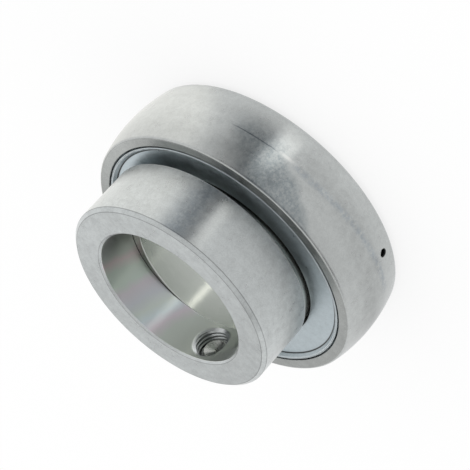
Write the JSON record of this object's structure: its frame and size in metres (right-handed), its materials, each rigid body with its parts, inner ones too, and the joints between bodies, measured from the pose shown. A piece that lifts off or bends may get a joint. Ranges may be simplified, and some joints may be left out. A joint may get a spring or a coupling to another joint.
{
  "type": "insert bearing",
  "caption": "Radial insert ball bearing with a spherical outer ring, sheet-steel shields and an eccentric locking collar with a set screw.",
  "frame": {"origin": "centre of the inner ring's back face, on the axis of the inner and outer rings", "axes": "+Z along the rings' axis, from the inner ring's back face towards the locking collar"},
  "size_m": [0.085, 0.085, 0.0437],
  "materials": {
    "ring_steel": "ground bearing steel, satin",
    "ball_steel": "polished bearing steel",
    "cage_steel": "pressed steel sheet, dull",
    "zinc_sheet": "zinc-plated steel sheet, bluish, satin",
    "seal_rubber": "black nitrile rubber, matt",
    "collar_steel": "fine-turned zinc-plated steel, satin",
    "screw_steel": "hardened steel, lightly oiled"
  },
  "bodies": {
    "outer_body": {"outer_ring": "ring_steel", "front_shield": "zinc_sheet", "front_seal_lip": "seal_rubber", "front_seal_washer": "cage_steel", "back_shield": "zinc_sheet", "back_seal_lip": "seal_rubber", "back_seal_washer": "cage_steel"},
    "inner_body": {"inner_ring": "ring_steel"},
    "cage_body": {"cage_front": "cage_steel", "cage_back": "cage_steel", "cage_rivet_1": "cage_steel", "cage_rivet_2": "cage_steel", "cage_rivet_3": "cage_steel", "cage_rivet_4": "cage_steel", "cage_rivet_5": "cage_steel", "cage_rivet_6": "cage_steel", "cage_rivet_7": "cage_steel", "cage_rivet_8": "cage_steel", "cage_rivet_9": "cage_steel"},
    "ball_body_1": {"ball_1": "ball_steel"},
    "ball_body_2": {"ball_2": "ball_steel"},
    "ball_body_3": {"ball_3": "ball_steel"},
    "ball_body_4": {"ball_4": "ball_steel"},
    "ball_body_5": {"ball_5": "ball_steel"},
    "ball_body_6": {"ball_6": "ball_steel"},
    "ball_body_7": {"ball_7": "ball_steel"},
    "ball_body_8": {"ball_8": "ball_steel"},
    "ball_body_9": {"ball_9": "ball_steel"},
    "collar_body": {"locking_collar": "collar_steel"},
    "screw_body": {"grub_screw": "screw_steel"}
  },
  "joints": [
    {"name": "inner_spin", "type": "hinge", "parent": "outer_body", "child": "inner_body", "pos_m": [0, 0, 0.0124], "axis": [0, 0, 1], "continuous": true},
    {"name": "cage_spin", "type": "hinge", "parent": "outer_body", "child": "cage_body", "pos_m": [0, 0, 0.0124], "axis": [0, 0, 1], "continuous": true},
    {"name": "ball_spin_1", "type": "hinge", "parent": "cage_body", "child": "ball_body_1", "pos_m": [0.0325, 0, 0.0124], "axis": [0, 0, 1], "continuous": true},
    {"name": "ball_spin_2", "type": "hinge", "parent": "cage_body", "child": "ball_body_2", "pos_m": [0.0249, 0.02089, 0.0124], "axis": [0, 0, 1], "continuous": true},
    {"name": "ball_spin_3", "type": "hinge", "parent": "cage_body", "child": "ball_body_3", "pos_m": [0.00564, 0.03201, 0.0124], "axis": [0, 0, 1], "continuous": true},
    {"name": "ball_spin_4", "type": "hinge", "parent": "cage_body", "child": "ball_body_4", "pos_m": [-0.01625, 0.02815, 0.0124], "axis": [0, 0, 1], "continuous": true},
    {"name": "ball_spin_5", "type": "hinge", "parent": "cage_body", "child": "ball_body_5", "pos_m": [-0.03054, 0.01112, 0.0124], "axis": [0, 0, 1], "continuous": true},
    {"name": "ball_spin_6", "type": "hinge", "parent": "cage_body", "child": "ball_body_6", "pos_m": [-0.03054, -0.01112, 0.0124], "axis": [0, 0, 1], "continuous": true},
    {"name": "ball_spin_7", "type": "hinge", "parent": "cage_body", "child": "ball_body_7", "pos_m": [-0.01625, -0.02815, 0.0124], "axis": [0, 0, 1], "continuous": true},
    {"name": "ball_spin_8", "type": "hinge", "parent": "cage_body", "child": "ball_body_8", "pos_m": [0.00564, -0.03201, 0.0124], "axis": [0, 0, 1], "continuous": true},
    {"name": "ball_spin_9", "type": "hinge", "parent": "cage_body", "child": "ball_body_9", "pos_m": [0.0249, -0.02089, 0.0124], "axis": [0, 0, 1], "continuous": true},
    {"name": "collar_turn", "type": "hinge", "parent": "inner_body", "child": "collar_body", "pos_m": [0.00137, 0.00062, 0.03], "axis": [0, 0, 1], "continuous": true},
    {"name": "grub_screw_travel", "type": "slide", "parent": "collar_body", "child": "screw_body", "axis": [-0.7254, 0.6884, 0], "range_m": [-0.0024, 0.006]}
  ],
  "couplings": [
    {"joint": "cage_spin", "follows": "inner_spin", "ratio": 0.40231},
    {"joint": "ball_spin_1", "follows": "inner_spin", "ratio": -2.4614},
    {"joint": "ball_spin_2", "follows": "inner_spin", "ratio": -2.4614},
    {"joint": "ball_spin_3", "follows": "inner_spin", "ratio": -2.4614},
    {"joint": "ball_spin_4", "follows": "inner_spin", "ratio": -2.4614},
    {"joint": "ball_spin_5", "follows": "inner_spin", "ratio": -2.4614},
    {"joint": "ball_spin_6", "follows": "inner_spin", "ratio": -2.4614},
    {"joint": "ball_spin_7", "follows": "inner_spin", "ratio": -2.4614},
    {"joint": "ball_spin_8", "follows": "inner_spin", "ratio": -2.4614},
    {"joint": "ball_spin_9", "follows": "inner_spin", "ratio": -2.4614}
  ]
}
